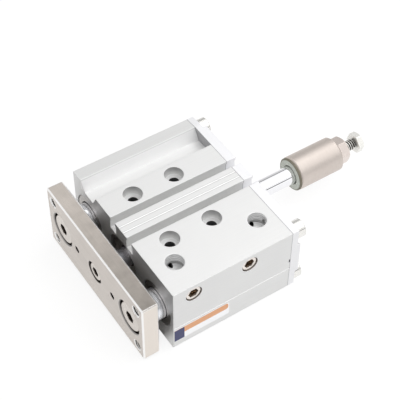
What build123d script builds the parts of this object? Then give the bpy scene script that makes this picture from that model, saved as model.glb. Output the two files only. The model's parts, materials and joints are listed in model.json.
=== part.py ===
from build123d import *
import math
import os

# Guided pneumatic cylinder: a double rod piston between two guide rods that carry a tool plate,
# with a stopper sleeve on the rear rod that sets the stroke.
# +X is the way the tool plate travels, +Y is the port side, +Z is up.
# The origin is the centre of the four base mounting holes, on the bottom face of the body.

# Driving sizes: the stroke, the bore, the rods and the walls of the body round them
stroke = 30.0
body_base_length = 38.1
bore_diameter = 25.0
piston_rod_diameter = 10.0
guide_rod_diameter = 16.0
bore_to_hole_wall = 1.0
hole_to_guide_wall = 1.3
guide_side_wall = 3.5
bore_floor_wall = 8.2
groove_floor_wall = 1.2
bottom_chamfer = 1.0

# Base mounting holes
hole_setback = 17.0
hole_pitch_x = 24.0
through_hole_diameter = 5.4
head_pocket_diameter = 10.0
head_pocket_depth = 5.4
tapped_hole_diameter = 5.0
tapped_hole_depth = 12.0
dowel_diameter = 4.0
dowel_slot_length = 4.5
dowel_depth = 6.0

# Side channel and sensor grooves in the top face
outer_rib_width = 7.5
outer_rib_slope = 3.7
channel_floor_width = 8.0
channel_inner_slope = 3.4
channel_depth = 6.4
outer_rib_drop = 0.7
groove_y = 7.6
groove_mouth = 4.4
groove_width = 5.6
groove_depth = 7.6
groove_lip = 1.8
groove_corner = 0.8
side_line_height = 15.5
side_line_width = 0.8
side_line_depth = 0.3
ridge_line_y = 1.9
ridge_line_width = 0.5
ridge_line_depth = 0.2

# Ports
port_inset = 16.5
port_diameter = 9.0
port_chamfer = 0.4
port_depth = 7.0
front_port_setback = 11.5
rear_port_offset = 9.6
side_port_drop = 6.5
side_port_depth = 8.5
side_port_rear_offset = 24.9
plug_clearance = 0.1
plug_length = 6.0
plug_sink = 0.6
plug_key = 5.0
plug_key_depth = 3.5
passage_diameter = 2.0
passage_overlap = 0.2
passage_run_out = 2.0
passage_reach_into_bore = 4.0
side_passage_diameter = 3.0
side_passage_rise = 2.0
side_passage_inset = 16.5

# Cylinder bore, rod cover and piston
edge_break = 0.5
ring_edge = 0.3
round_clearance = 0.3
rod_spigot_diameter = 7.0
rod_spigot_engagement = 8.0
cover_step = 0.8
cover_length = 9.0
ring_thickness = 1.2
ring_recess = 1.2
ring_groove_depth = 0.6
ring_radial_width = 2.2
ring_gap = 5.0
eyelet_radius = 1.5
eyelet_hole_radius = 0.7
eyelet_spread = 3.6
eyelet_rise = 0.9
static_clearance = 0.02
running_clearance = 0.05
seal_clearance = 0.03
end_clearance = 0.1
rod_seal_width = 3.0
rod_seal_height = 2.8
seal_land = 1.0
seal_window = 0.9
cover_face_radius = 8.2
cover_face_sink = 0.4
cover_groove_share = 0.6
wiper_width = 2.2
rod_bush_wall = 1.0
o_ring_section = 1.8
o_ring_squeeze = 0.2
o_ring_play = 0.2
piston_seal_width = 2.6
piston_seal_height = 2.6
magnet_width = 4.0
magnet_height = 2.2
magnet_sink = 0.3
piston_land = 1.6
bumper_thickness = 3.0
bumper_stand = 1.0
bumper_inner_clearance = 1.5
bumper_outer_clearance = 1.9

# Guides
guide_bush_wall = 3.0
guide_bush_length = 16.0
guide_bush_gap = 3.5
guide_rear_clearance = 1.0
holder_depth = 4.5
holder_step = 1.2
holder_lip = 1.3
holder_sink = 0.3
holder_mouth = 0.6
felt_wall = 1.6
rod_end_gap = 3.5

# Tool plate
plate_gap = 7.0
plate_thickness = 9.0
plate_side_inset = 1.25
plate_bottom = 1.8
plate_top_inset = 2.0
plate_chamfer = 0.6
plate_hole_inset = 5.75
plate_hole_pitch_z = 27.0
plate_dowel_y = 17.0
plate_hole_chamfer = 0.5
head_clearance = 1.0
guide_pocket_depth = 5.6
guide_pocket_chamfer = 0.8
guide_screw_head_diameter = 16.0
guide_screw_head_height = 4.9
guide_screw_diameter = 8.0
guide_screw_length = 14.0
guide_screw_key = 6.0
rod_pocket_depth = 6.6
rod_pocket_chamfer = 0.4
rod_screw_head_diameter = 10.0
rod_screw_head_height = 6.0
rod_screw_diameter = 6.0
rod_screw_length = 12.0
rod_screw_key = 5.0
screw_hole_clearance = 0.2
key_depth_share = 0.55

# Rear plate
rear_plate_thickness = 5.4
rear_spigot_length = 5.0
spot_face_depth = 1.8
rear_groove_x_share = 0.5
spot_face_clearance = 2.7
rear_screw_inset_y = 5.0
rear_screw_inset_z = 4.9
rear_screw_head_diameter = 9.4
rear_screw_head_height = 5.3
rear_screw_diameter = 5.0
rear_screw_engagement = 11.0
tap_overrun = 2.0
rear_screw_key = 4.0
pry_notch_height = 2.4
pry_notch_width = 1.0
pry_notch_depth = 0.8
pry_notch_z = 21.3

# Stopper on the rear rod
stopper_gap = 28.8
stopper_diameter = 18.8
stopper_length = 27.4
stopper_bumper_thickness = 1.2
stopper_bumper_clearance = 0.6
stopper_bumper_seat = 0.8
stopper_chamfer = 0.8
stopper_rim = 0.4
stopper_bumper_step = 0.2
stopper_bore_depth = 22.5
rod_engagement = 13.5
lock_nut_width = 13.0
lock_nut_thickness = 6.3
nut_chamfer = 0.7
bolt_diameter = 6.0
bolt_head_width = 10.0
bolt_head_height = 4.0
bolt_stand = 7.1
bolt_engagement = 8.0
lock_nut_turn = 16.0
bolt_head_turn = 13.5
socket_turn = 15.0
guide_rod_chamfer = 1.0

# Places worked out from the sizes
bore_radius = bore_diameter / 2
rod_radius = piston_rod_diameter / 2
guide_radius = guide_rod_diameter / 2
cover_radius = bore_radius + cover_step
bush_radius = guide_radius + guide_bush_wall
holder_radius = bush_radius + holder_step
axis_height = bore_radius + bore_floor_wall
body_height = axis_height + bore_radius + groove_floor_wall + groove_depth
hole_y = cover_radius + bore_to_hole_wall + through_hole_diameter / 2
guide_y = hole_y + through_hole_diameter / 2 + hole_to_guide_wall + bush_radius
body_half = guide_y + bush_radius + guide_side_wall
body_width = 2 * body_half
hole_pitch_y = 2 * hole_y
body_length = stroke + body_base_length
front_x = hole_setback + hole_pitch_x / 2
rear_x = front_x - body_length
rear_face_x = rear_x - rear_plate_thickness
plate_rear_x = front_x + plate_gap
plate_front_x = plate_rear_x + plate_thickness
cover_front_x = front_x - ring_recess - ring_thickness
cover_rear_x = cover_front_x - cover_length
spigot_front_x = rear_x + rear_spigot_length
piston_rear_x = spigot_front_x + end_clearance + bumper_stand
piston_front_x = cover_rear_x - stroke - end_clearance - bumper_stand
bush_front_x = front_x - holder_depth
bush_end_x = bush_front_x - 2 * guide_bush_length - guide_bush_gap
guide_rod_rear_x = rear_x + rod_end_gap
bumper_face_x = rear_face_x - stopper_gap
stopper_front_x = bumper_face_x - stopper_bumper_thickness
stopper_rear_x = stopper_front_x - stopper_length
nut_rear_x = stopper_rear_x - lock_nut_thickness
bolt_head_x = nut_rear_x - bolt_stand
rear_rod_end_x = stopper_front_x - rod_engagement
groove_floor = body_height - groove_depth
guide_pocket_radius = guide_screw_head_diameter / 2 + head_clearance
rod_pocket_radius = rod_screw_head_diameter / 2 + head_clearance
bumper_inner_radius = rod_radius + bumper_inner_clearance
bumper_outer_radius = bore_radius - bumper_outer_clearance
port_y = body_half - port_inset
side_port_height = body_height - side_port_drop
side_passage_y = body_half - side_passage_inset
rear_screw_pitch_y = body_width - 2 * rear_screw_inset_y
rear_screw_pitch_z = 2 * (axis_height - rear_screw_inset_z)
plate_width = body_width - 2 * plate_side_inset
plate_height = body_height - plate_bottom - plate_top_inset
plate_hole_pitch_y = plate_width - 2 * plate_hole_inset
port_places = (front_x - front_port_setback, rear_x + rear_port_offset)
side_port_places = (front_x - front_port_setback, rear_x + side_port_rear_offset)

os.makedirs("parts", exist_ok=True)


def across(x):
    """The plane square to the rods at x, with its own axes along Y and Z."""
    return Plane.YZ.offset(x)


def along(y=0.0):
    """The upright plane through a rod's axis at y, with its own axes along X and up from the axis."""
    return Plane(origin=(0, y, axis_height), x_dir=(1, 0, 0), z_dir=(0, -1, 0))


def rod_axis(y=0.0):
    return Axis((0, y, axis_height), (1, 0, 0))


def disc(radius, x, y=0.0, z=axis_height):
    """A round face square to the rods."""
    with BuildSketch(across(x)) as face:
        with Locations((y, z)):
            Circle(radius)
    return face.sketch


def turned(profile, y=0.0):
    """A piece turned about a rod's axis from a closed outline of (x, radius) points."""
    with BuildPart() as piece:
        with BuildSketch(along(y)):
            with BuildLine():
                Polyline(*profile, close=True)
            make_face()
        revolve(axis=rod_axis(y))
    return piece.part


def ring_profile(x_front, x_rear, outer, inner, edge):
    """The outline of a ring whose outer corners are cut back by edge."""
    return [
        (x_rear, inner),
        (x_front, inner),
        (x_front, outer - edge),
        (x_front - edge, outer),
        (x_rear + edge, outer),
        (x_rear, outer - edge),
    ]


def save(piece, label):
    piece.label = label
    export_step(piece, f"parts/{label}.step")


# Outline of the body's cross-section, with or without the side channel and the fine lines
def body_outline(channel):
    half = body_half
    channel_outer_y = half - outer_rib_width
    channel_floor_outer_y = channel_outer_y - outer_rib_slope
    channel_floor_inner_y = channel_floor_outer_y - channel_floor_width
    channel_inner_y = channel_floor_inner_y - channel_inner_slope
    channel_floor_height = body_height - channel_depth
    line_low = side_line_height - side_line_width / 2
    line_high = side_line_height + side_line_width / 2
    right = [
        (-half + bottom_chamfer, 0),
        (half - bottom_chamfer, 0),
        (half, bottom_chamfer),
    ]
    if channel:
        right += [(half, line_low), (half - side_line_depth, side_line_height), (half, line_high)]
    right += [(half, body_height)]
    ridge = []
    for line_y in (ridge_line_y, -ridge_line_y):
        ridge += [
            (line_y + ridge_line_width / 2, body_height),
            (line_y, body_height - ridge_line_depth),
            (line_y - ridge_line_width / 2, body_height),
        ]
    hollow = [
        (-channel_inner_y, body_height),
        (-channel_floor_inner_y, channel_floor_height),
        (-channel_floor_outer_y, channel_floor_height),
    ]
    left = [
        (-channel_outer_y, body_height),
        (-half, body_height - outer_rib_drop),
        (-half, bottom_chamfer),
    ]
    return right + (ridge + hollow if channel else []) + left


def section(x, channel):
    with BuildSketch(across(x)) as face:
        with BuildLine():
            Polyline(*body_outline(channel), close=True)
        make_face()
    return face.sketch


# Sensor groove: a mouth between two lips, and a wider room below with rounded lower corners
def groove_section(x):
    room_height = groove_depth - groove_lip
    mouth_height = groove_lip + 2 * groove_corner
    with BuildSketch(across(x)) as face:
        with Locations((-groove_y, groove_floor), (groove_y, groove_floor)):
            RectangleRounded(groove_width, room_height, groove_corner, align=(Align.CENTER, Align.MIN))
        with Locations((-groove_y, body_height + groove_corner), (groove_y, body_height + groove_corner)):
            Rectangle(groove_mouth, mouth_height, align=(Align.CENTER, Align.MAX))
    return face.sketch


# Body housing
with BuildPart() as housing:
    extrude(section(rear_x, True), amount=body_length)
    extrude(groove_section(rear_x), amount=body_length, mode=Mode.SUBTRACT)
    # cylinder bore, the wider seat of the rod cover and the retaining ring's groove
    extrude(disc(bore_radius, rear_x), amount=body_length, mode=Mode.SUBTRACT)
    seat_depth = front_x - cover_rear_x
    extrude(disc(cover_radius, cover_rear_x), amount=seat_depth, mode=Mode.SUBTRACT)
    extrude(
        disc(cover_radius + ring_groove_depth, cover_front_x),
        amount=ring_thickness,
        mode=Mode.SUBTRACT,
    )
    # guide bores: the holder's seat, the bushes' seat and the room for the rod's end
    for side_y in (-guide_y, guide_y):
        extrude(disc(holder_radius, bush_front_x, side_y), amount=holder_depth, mode=Mode.SUBTRACT)
        extrude(disc(bush_radius, bush_end_x, side_y), amount=bush_front_x - bush_end_x, mode=Mode.SUBTRACT)
        extrude(
            disc(guide_radius + guide_rear_clearance, rear_x, side_y),
            amount=bush_end_x - rear_x,
            mode=Mode.SUBTRACT,
        )
    # mounting holes: a head pocket, a clear hole and a tapped end at the bottom
    with Locations((0, 0, body_height)):
        with GridLocations(hole_pitch_x, hole_pitch_y, 2, 2):
            CounterBoreHole(
                through_hole_diameter / 2,
                head_pocket_diameter / 2,
                head_pocket_depth,
                depth=body_height - tapped_hole_depth,
            )
    with BuildSketch(Plane.XY):
        with GridLocations(hole_pitch_x, hole_pitch_y, 2, 2):
            Circle(tapped_hole_diameter / 2)
    extrude(amount=tapped_hole_depth, mode=Mode.SUBTRACT)
    # dowel hole and dowel slot in the base
    with BuildSketch(Plane.XY):
        with Locations((0, hole_y)):
            Circle(dowel_diameter / 2)
        with Locations((0, -hole_y)):
            SlotOverall(dowel_slot_length, dowel_diameter, rotation=90)
    extrude(amount=dowel_depth, mode=Mode.SUBTRACT)
    # open ports in the top face
    for port_x in port_places:
        with Locations((port_x, port_y, body_height)):
            CounterSinkHole(
                port_diameter / 2,
                port_diameter / 2 + port_chamfer,
                depth=port_depth,
                counter_sink_angle=90,
            )
    # plugged ports in the side face
    with BuildSketch(Plane.XZ.offset(-body_width / 2)):
        for port_x in side_port_places:
            with Locations((port_x, side_port_height)):
                Circle(port_diameter / 2)
    extrude(amount=side_port_depth, mode=Mode.SUBTRACT)
    # air passages inwards from the side ports, and a channel from the rear one to the rear top port
    side_passage_z = side_port_height + side_passage_rise
    with BuildSketch(Plane.XZ.offset(side_port_depth - body_width / 2)):
        for port_x in side_port_places:
            with Locations((port_x, side_passage_z)):
                Circle(side_passage_diameter / 2)
    extrude(amount=body_width / 2 - side_port_depth - side_passage_y, mode=Mode.SUBTRACT)
    with BuildSketch(across(rear_x)):
        with Locations((side_passage_y, side_passage_z)):
            Circle(side_passage_diameter / 2)
    extrude(amount=side_port_rear_offset, mode=Mode.SUBTRACT)
    # air passages from the ports on top down to both ends of the cylinder bore
    passage_top_y = port_y - port_diameter / 2 + passage_overlap
    passage_low_y = bore_radius - passage_reach_into_bore
    passage_low_z = axis_height + passage_reach_into_bore
    front_passage_x = cover_rear_x - 0.6 * passage_diameter
    rear_passage_x = spigot_front_x + 0.3 * passage_diameter
    for port_x, end_x in zip(port_places, (front_passage_x, rear_passage_x)):
        corner = Vector(port_x, passage_top_y, body_height - port_depth)
        lower = Vector(end_x, passage_low_y, passage_low_z)
        way = (lower - corner).normalized()
        upper = corner - way * passage_run_out
        with BuildSketch(Plane(origin=upper, z_dir=way)):
            Circle(passage_diameter / 2)
        extrude(amount=(lower - upper).length, mode=Mode.SUBTRACT)
    # tapped holes for the rear plate's screws
    with BuildSketch(across(rear_x)):
        with Locations((0, axis_height)):
            with GridLocations(rear_screw_pitch_y, rear_screw_pitch_z, 2, 2):
                Circle(rear_screw_diameter / 2 + static_clearance)
    extrude(amount=rear_screw_engagement + tap_overrun, mode=Mode.SUBTRACT)
    # notch for prying the rear plate off, on the port side
    with BuildSketch(Plane.XZ.offset(-body_width / 2)):
        with Locations((rear_x, pry_notch_z)):
            Rectangle(pry_notch_width, pry_notch_height, align=(Align.MIN, Align.CENTER))
    extrude(amount=pry_notch_depth, mode=Mode.SUBTRACT)

save(housing.part, "body_housing")

# Rear plate: a full-section cover with a spigot in the bore, notches in line with the sensor
# grooves and a spot face at each corner for a screw head
seal_room_radius = rod_radius + rod_seal_height
spigot_radius = bore_radius - static_clearance
rear_seal_x = spigot_front_x - seal_land
rear_bush_front_x = rear_seal_x - rod_seal_width - seal_land
rear_bush_rear_x = rear_face_x + wiper_width + seal_land
rear_bush_length = rear_bush_front_x - rear_bush_rear_x
bush_room_radius = rod_radius + running_clearance + rod_bush_wall
o_ring_room = o_ring_section + o_ring_play
o_ring_depth = o_ring_section - o_ring_squeeze
with BuildPart() as rear_plate:
    extrude(section(rear_face_x, False), amount=rear_plate_thickness)
    extrude(groove_section(rear_face_x), amount=rear_plate_thickness, mode=Mode.SUBTRACT)
    extrude(disc(spigot_radius, rear_x), amount=rear_spigot_length)
    # groove of the O-ring on the spigot
    with BuildSketch(along()):
        with Locations((rear_x + rear_spigot_length * rear_groove_x_share, spigot_radius)):
            Rectangle(o_ring_room, 2 * o_ring_depth)
    revolve(axis=rod_axis(), mode=Mode.SUBTRACT)
    # rod hole with rooms for the wiper, the bush and the seal
    full_depth = rear_plate_thickness + rear_spigot_length
    extrude(disc(rod_radius + round_clearance, rear_face_x), amount=full_depth, mode=Mode.SUBTRACT)
    extrude(disc(seal_room_radius, rear_face_x), amount=wiper_width, mode=Mode.SUBTRACT)
    extrude(disc(bush_room_radius, rear_bush_rear_x), amount=rear_bush_length, mode=Mode.SUBTRACT)
    extrude(disc(seal_room_radius, rear_seal_x - rod_seal_width), amount=rod_seal_width, mode=Mode.SUBTRACT)
    # spot faces and clear holes of the corner screws
    with BuildSketch(across(rear_face_x)):
        with Locations((0, axis_height)):
            with GridLocations(rear_screw_pitch_y, rear_screw_pitch_z, 2, 2):
                Circle(rear_screw_head_diameter / 2 + spot_face_clearance)
    extrude(amount=spot_face_depth, mode=Mode.SUBTRACT)
    with BuildSketch(across(rear_face_x)):
        with Locations((0, axis_height)):
            with GridLocations(rear_screw_pitch_y, rear_screw_pitch_z, 2, 2):
                Circle(rear_screw_diameter / 2 + screw_hole_clearance)
    extrude(amount=rear_plate_thickness, mode=Mode.SUBTRACT)

save(rear_plate.part, "rear_plate")

# Rear plate screws: cap heads with a hexagon socket
seat_x = rear_face_x + spot_face_depth
with BuildPart() as rear_screws:
    with BuildSketch(across(seat_x)):
        with Locations((0, axis_height)):
            with GridLocations(rear_screw_pitch_y, rear_screw_pitch_z, 2, 2):
                Circle(rear_screw_head_diameter / 2)
    extrude(amount=-rear_screw_head_height)
    head_rims = rear_screws.edges().filter_by(GeomType.CIRCLE).group_by(Axis.X)[0]
    chamfer(head_rims, edge_break)
    with BuildSketch(across(seat_x)):
        with Locations((0, axis_height)):
            with GridLocations(rear_screw_pitch_y, rear_screw_pitch_z, 2, 2):
                Circle(rear_screw_diameter / 2)
    extrude(amount=rear_plate_thickness - spot_face_depth + rear_screw_engagement)
    with BuildSketch(across(seat_x - rear_screw_head_height)):
        with Locations((0, axis_height)):
            with GridLocations(rear_screw_pitch_y, rear_screw_pitch_z, 2, 2):
                RegularPolygon(rear_screw_key / 2, 6, major_radius=False)
    extrude(amount=rear_screw_head_height * key_depth_share, mode=Mode.SUBTRACT)

save(rear_screws.part, "rear_plate_screws")

# Rings of the rear plate
rear_o_ring_x = rear_x + rear_spigot_length * rear_groove_x_share
save(
    turned(
        ring_profile(
            rear_o_ring_x + o_ring_section / 2,
            rear_o_ring_x - o_ring_section / 2,
            bore_radius - static_clearance,
            spigot_radius - o_ring_depth + static_clearance,
            edge_break,
        )
    ),
    "rear_plate_o_ring",
)
save(
    turned(
        ring_profile(
            rear_seal_x - static_clearance,
            rear_seal_x - rod_seal_width + static_clearance,
            seal_room_radius - static_clearance,
            rod_radius + seal_clearance,
            ring_edge,
        )
    ),
    "rear_rod_seal",
)
save(
    turned(
        ring_profile(
            rear_bush_front_x,
            rear_bush_rear_x,
            bush_room_radius - static_clearance,
            rod_radius + running_clearance,
            ring_edge,
        )
    ),
    "rear_rod_bush",
)
save(
    turned(
        ring_profile(
            rear_face_x + wiper_width - static_clearance,
            rear_face_x,
            seal_room_radius - static_clearance,
            rod_radius + seal_clearance,
            ring_edge,
        )
    ),
    "rear_rod_wiper",
)

# Rod cover in the front of the bore, with rooms for the seal and the bush
front_seal_x = cover_front_x - seal_land
front_bush_x = front_seal_x - rod_seal_width - seal_land
front_bush_rear_x = cover_rear_x + seal_land
front_bush_length = front_bush_x - front_bush_rear_x
cover_groove_x = cover_front_x - cover_length * cover_groove_share
with BuildPart() as rod_cover:
    extrude(disc(cover_radius - static_clearance, cover_rear_x), amount=cover_length)
    extrude(disc(rod_radius + round_clearance, cover_rear_x), amount=cover_length, mode=Mode.SUBTRACT)
    extrude(disc(seal_room_radius, front_seal_x - rod_seal_width), amount=rod_seal_width, mode=Mode.SUBTRACT)
    extrude(disc(bush_room_radius, front_bush_rear_x), amount=front_bush_length, mode=Mode.SUBTRACT)
    extrude(disc(rod_radius + seal_window, front_seal_x), amount=seal_land, mode=Mode.SUBTRACT)
    # shallow turned face round the rod
    extrude(disc(cover_face_radius, cover_front_x), amount=-cover_face_sink, mode=Mode.SUBTRACT)
    with BuildSketch(along()):
        with Locations((cover_groove_x, cover_radius)):
            Rectangle(o_ring_room, 2 * o_ring_depth)
    revolve(axis=rod_axis(), mode=Mode.SUBTRACT)

save(rod_cover.part, "rod_cover")

save(
    turned(
        ring_profile(
            cover_groove_x + o_ring_section / 2,
            cover_groove_x - o_ring_section / 2,
            cover_radius - static_clearance,
            cover_radius - o_ring_depth + static_clearance,
            edge_break,
        )
    ),
    "rod_cover_o_ring",
)
save(
    turned(
        ring_profile(
            front_seal_x - static_clearance,
            front_seal_x - rod_seal_width + static_clearance,
            seal_room_radius - static_clearance,
            rod_radius + seal_clearance,
            ring_edge,
        )
    ),
    "rod_seal",
)
save(
    turned(
        ring_profile(
            front_bush_x,
            front_bush_rear_x,
            bush_room_radius - static_clearance,
            rod_radius + running_clearance,
            ring_edge,
        )
    ),
    "rod_bush",
)

# Retaining ring: an open ring with two eyelets, sprung into its groove in front of the rod cover
ring_outer = cover_radius + ring_groove_depth - static_clearance
ring_inner = cover_radius - ring_radial_width
with BuildPart() as retaining_ring:
    with BuildSketch(across(cover_front_x)):
        with Locations((0, axis_height)):
            Circle(ring_outer)
            Circle(ring_inner, mode=Mode.SUBTRACT)
        with Locations((0, axis_height - ring_inner)):
            Rectangle(ring_gap, 4 * ring_radial_width, mode=Mode.SUBTRACT)
        eyelet_z = axis_height - ring_inner + eyelet_rise
        with Locations((-eyelet_spread, eyelet_z), (eyelet_spread, eyelet_z)):
            Circle(eyelet_radius)
            Circle(eyelet_hole_radius, mode=Mode.SUBTRACT)
    extrude(amount=ring_thickness)

save(retaining_ring.part, "retaining_ring")

# Guide bushes, holders and felts, one set on each side
for side, side_y in (("left", -guide_y), ("right", guide_y)):
    for place, x_front in (
        ("front", bush_front_x),
        ("rear", bush_front_x - guide_bush_length - guide_bush_gap),
    ):
        save(
            turned(
                ring_profile(
                    x_front,
                    x_front - guide_bush_length,
                    bush_radius - static_clearance,
                    guide_radius + running_clearance,
                    edge_break,
                ),
                side_y,
            ),
            f"{place}_guide_bush_{side}",
        )
    felt_radius = guide_radius + running_clearance + felt_wall
    save(
        turned(
            [
                (bush_front_x, felt_radius),
                (front_x - holder_lip, felt_radius),
                (front_x - holder_lip, guide_radius + holder_mouth),
                (front_x - holder_sink, guide_radius + holder_mouth),
                (front_x - holder_sink, holder_radius - edge_break),
                (front_x - holder_sink - edge_break, holder_radius - static_clearance),
                (bush_front_x, holder_radius - static_clearance),
            ],
            side_y,
        ),
        f"guide_holder_{side}",
    )
    save(
        turned(
            ring_profile(
                front_x - holder_lip,
                bush_front_x,
                felt_radius - static_clearance,
                guide_radius + seal_clearance,
                ring_edge,
            ),
            side_y,
        ),
        f"guide_felt_{side}",
    )

# Side port plugs: round plugs with a hexagon socket
with BuildPart() as plugs:
    with BuildSketch(Plane.XZ.offset(plug_sink - body_width / 2)):
        for port_x in side_port_places:
            with Locations((port_x, side_port_height)):
                Circle(port_diameter / 2 - plug_clearance)
    extrude(amount=plug_length)
    chamfer(plugs.edges().filter_by(GeomType.CIRCLE).group_by(Axis.Y)[-1], edge_break)
    with BuildSketch(Plane.XZ.offset(plug_sink - body_width / 2)):
        for port_x in side_port_places:
            with Locations((port_x, side_port_height)):
                RegularPolygon(plug_key / 2, 6, major_radius=False)
    extrude(amount=plug_key_depth, mode=Mode.SUBTRACT)

save(plugs.part, "side_port_plugs")

# Piston with its seal, magnet ring and two bumpers
piston_length = piston_front_x - piston_rear_x
piston_radius = bore_radius - running_clearance
bumper_seat_depth = bumper_thickness - bumper_stand
seal_mid_x = piston_front_x - bumper_seat_depth - piston_land - piston_seal_width / 2
magnet_mid_x = piston_rear_x + bumper_seat_depth + piston_land + magnet_width / 2
spigot_hole_radius = rod_spigot_diameter / 2 + static_clearance
with BuildPart() as piston:
    extrude(disc(piston_radius, piston_rear_x), amount=piston_length)
    chamfer(piston.edges().filter_by(GeomType.CIRCLE), edge_break)
    extrude(disc(spigot_hole_radius, piston_rear_x), amount=piston_length, mode=Mode.SUBTRACT)
    for x_end, depth in ((piston_front_x, -bumper_seat_depth), (piston_rear_x, bumper_seat_depth)):
        with BuildSketch(across(x_end)):
            with Locations((0, axis_height)):
                Circle(bumper_outer_radius)
                Circle(bumper_inner_radius, mode=Mode.SUBTRACT)
        extrude(amount=depth, mode=Mode.SUBTRACT)
    with BuildSketch(along()):
        with Locations((seal_mid_x, piston_radius)):
            Rectangle(piston_seal_width, 2 * piston_seal_height)
        with Locations((magnet_mid_x, piston_radius)):
            Rectangle(magnet_width, 2 * magnet_height)
    revolve(axis=rod_axis(), mode=Mode.SUBTRACT)

save(piston.part, "piston")

save(
    turned(
        ring_profile(
            seal_mid_x + piston_seal_width / 2 - static_clearance,
            seal_mid_x - piston_seal_width / 2 + static_clearance,
            bore_radius - seal_clearance,
            piston_radius - piston_seal_height + static_clearance,
            ring_edge,
        )
    ),
    "piston_seal",
)
save(
    turned(
        ring_profile(
            magnet_mid_x + magnet_width / 2 - static_clearance,
            magnet_mid_x - magnet_width / 2 + static_clearance,
            piston_radius - magnet_sink,
            piston_radius - magnet_height + static_clearance,
            ring_edge,
        )
    ),
    "magnet_ring",
)
for label, x_far, x_near in (
    ("front_bumper", piston_front_x + bumper_stand, piston_front_x - bumper_seat_depth),
    ("rear_bumper", piston_rear_x + bumper_seat_depth, piston_rear_x - bumper_stand),
):
    save(
        turned(
            ring_profile(
                x_far,
                x_near,
                bumper_outer_radius - static_clearance,
                bumper_inner_radius + static_clearance,
                ring_edge,
            )
        ),
        label,
    )

# Piston rod: from the tool plate to the piston, with a spigot that clamps the piston
spigot_end_x = piston_rear_x - rod_spigot_engagement
with BuildPart() as piston_rod:
    extrude(disc(rod_radius, piston_front_x), amount=plate_rear_x - piston_front_x)
    extrude(disc(rod_spigot_diameter / 2, spigot_end_x), amount=piston_front_x - spigot_end_x)
    extrude(
        disc(rod_screw_diameter / 2 + static_clearance, plate_rear_x - rod_screw_length),
        amount=rod_screw_length,
        mode=Mode.SUBTRACT,
    )

save(piston_rod.part, "piston_rod")

# Rear rod: screwed on the spigot behind the piston, with a socket for the adjusting bolt
bolt_tip_x = rear_rod_end_x + bolt_engagement
with BuildPart() as rear_rod:
    extrude(disc(rod_radius, rear_rod_end_x), amount=piston_rear_x - rear_rod_end_x)
    chamfer(rear_rod.edges().filter_by(GeomType.CIRCLE).group_by(Axis.X)[0], edge_break)
    extrude(disc(spigot_hole_radius, spigot_end_x), amount=rod_spigot_engagement, mode=Mode.SUBTRACT)
    extrude(
        disc(bolt_diameter / 2 + running_clearance, rear_rod_end_x),
        amount=bolt_engagement + end_clearance,
        mode=Mode.SUBTRACT,
    )

save(rear_rod.part, "rear_rod")

# Guide rods, with a tapped hole at the tool plate's end
for side, side_y in (("left", -guide_y), ("right", guide_y)):
    with BuildPart() as guide_rod:
        extrude(disc(guide_radius, guide_rod_rear_x, side_y), amount=plate_rear_x - guide_rod_rear_x)
        chamfer(guide_rod.edges().filter_by(GeomType.CIRCLE).group_by(Axis.X)[0], guide_rod_chamfer)
        extrude(
            disc(guide_screw_diameter / 2 + static_clearance, plate_rear_x - guide_screw_length, side_y),
            amount=guide_screw_length,
            mode=Mode.SUBTRACT,
        )
    save(guide_rod.part, f"guide_rod_{side}")

# Tool plate with three chamfered screw pockets, four tapped holes and two dowel holes
plate_middle = plate_bottom + plate_height / 2
with BuildPart() as tool_plate:
    with BuildSketch(across(plate_rear_x)):
        with Locations((0, plate_middle)):
            Rectangle(plate_width, plate_height)
    extrude(amount=plate_thickness)
    chamfer(tool_plate.edges(), plate_chamfer)
    for pocket_y, pocket_radius, pocket_depth, pocket_chamfer, screw_diameter in (
        (-guide_y, guide_pocket_radius, guide_pocket_depth, guide_pocket_chamfer, guide_screw_diameter),
        (guide_y, guide_pocket_radius, guide_pocket_depth, guide_pocket_chamfer, guide_screw_diameter),
        (0.0, rod_pocket_radius, rod_pocket_depth, rod_pocket_chamfer, rod_screw_diameter),
    ):
        with BuildSketch(along(pocket_y)):
            with BuildLine():
                Polyline(
                    (plate_rear_x, 0),
                    (plate_rear_x, screw_diameter / 2 + screw_hole_clearance),
                    (plate_front_x - pocket_depth, screw_diameter / 2 + screw_hole_clearance),
                    (plate_front_x - pocket_depth, pocket_radius),
                    (plate_front_x - pocket_chamfer, pocket_radius),
                    (plate_front_x, pocket_radius + pocket_chamfer),
                    (plate_front_x, 0),
                    close=True,
                )
            make_face()
        revolve(axis=rod_axis(pocket_y), mode=Mode.SUBTRACT)
    with BuildSketch(across(plate_rear_x)):
        with Locations((0, axis_height)):
            with GridLocations(plate_hole_pitch_y, plate_hole_pitch_z, 2, 2):
                Circle(tapped_hole_diameter / 2)
        with Locations((-plate_dowel_y, axis_height), (plate_dowel_y, axis_height)):
            Circle(dowel_diameter / 2)
    extrude(amount=plate_thickness, mode=Mode.SUBTRACT)
    with BuildSketch(across(plate_front_x)):
        with Locations((0, axis_height)):
            with GridLocations(plate_hole_pitch_y, plate_hole_pitch_z, 2, 2):
                Circle(tapped_hole_diameter / 2 + plate_hole_chamfer)
    extrude(amount=-plate_hole_chamfer, taper=45, mode=Mode.SUBTRACT)

save(tool_plate.part, "tool_plate")


def cap_screw(seat, head_height, head_diameter, diameter, length, key, y=0.0):
    """A screw along the rods, its head in front of the seat and its shank behind it."""
    with BuildPart() as screw:
        extrude(disc(head_diameter / 2, seat, y), amount=head_height)
        chamfer(screw.edges().filter_by(GeomType.CIRCLE).group_by(Axis.X)[-1], edge_break)
        extrude(disc(diameter / 2, seat, y), amount=-length)
        with BuildSketch(across(seat + head_height)):
            with Locations((y, axis_height)):
                RegularPolygon(key / 2, 6, major_radius=False, rotation=socket_turn)
        extrude(amount=-head_height * key_depth_share, mode=Mode.SUBTRACT)
    return screw.part


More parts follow.
